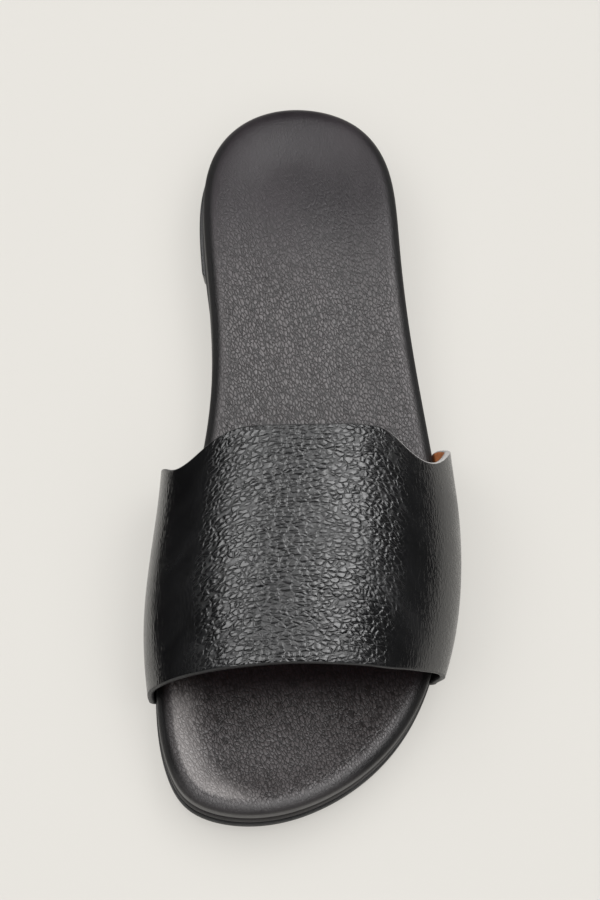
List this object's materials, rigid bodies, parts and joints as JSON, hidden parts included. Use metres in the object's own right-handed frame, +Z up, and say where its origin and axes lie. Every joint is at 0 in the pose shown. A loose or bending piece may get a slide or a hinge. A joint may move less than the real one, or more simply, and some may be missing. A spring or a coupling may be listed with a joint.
{
  "type": "slide sandal",
  "caption": "Flat open slide sandal: one wide pebbled leather strap over a padded leather footbed on a thin sole with a low heel.",
  "frame": {"origin": "on the floor, under the middle of the sandal's bounding box", "axes": "+X to the lateral (outer) side of the left foot, +Y from toe to heel, +Z up"},
  "size_m": [0.1012, 0.2484, 0.0612],
  "materials": {
    "outsole": "matt black rubber sheet",
    "heel": "black block with a polished side",
    "midsole": "smooth black leather wrap, semi-gloss",
    "insole": "charcoal leather, fine grain, semi-gloss",
    "strap": "glossy pebbled black leather, tan lining"
  },
  "bodies": {
    "root": {"outsole": "outsole", "heel": "heel", "midsole": "midsole", "insole": "insole", "strap": "strap"}
  },
  "joints": []
}
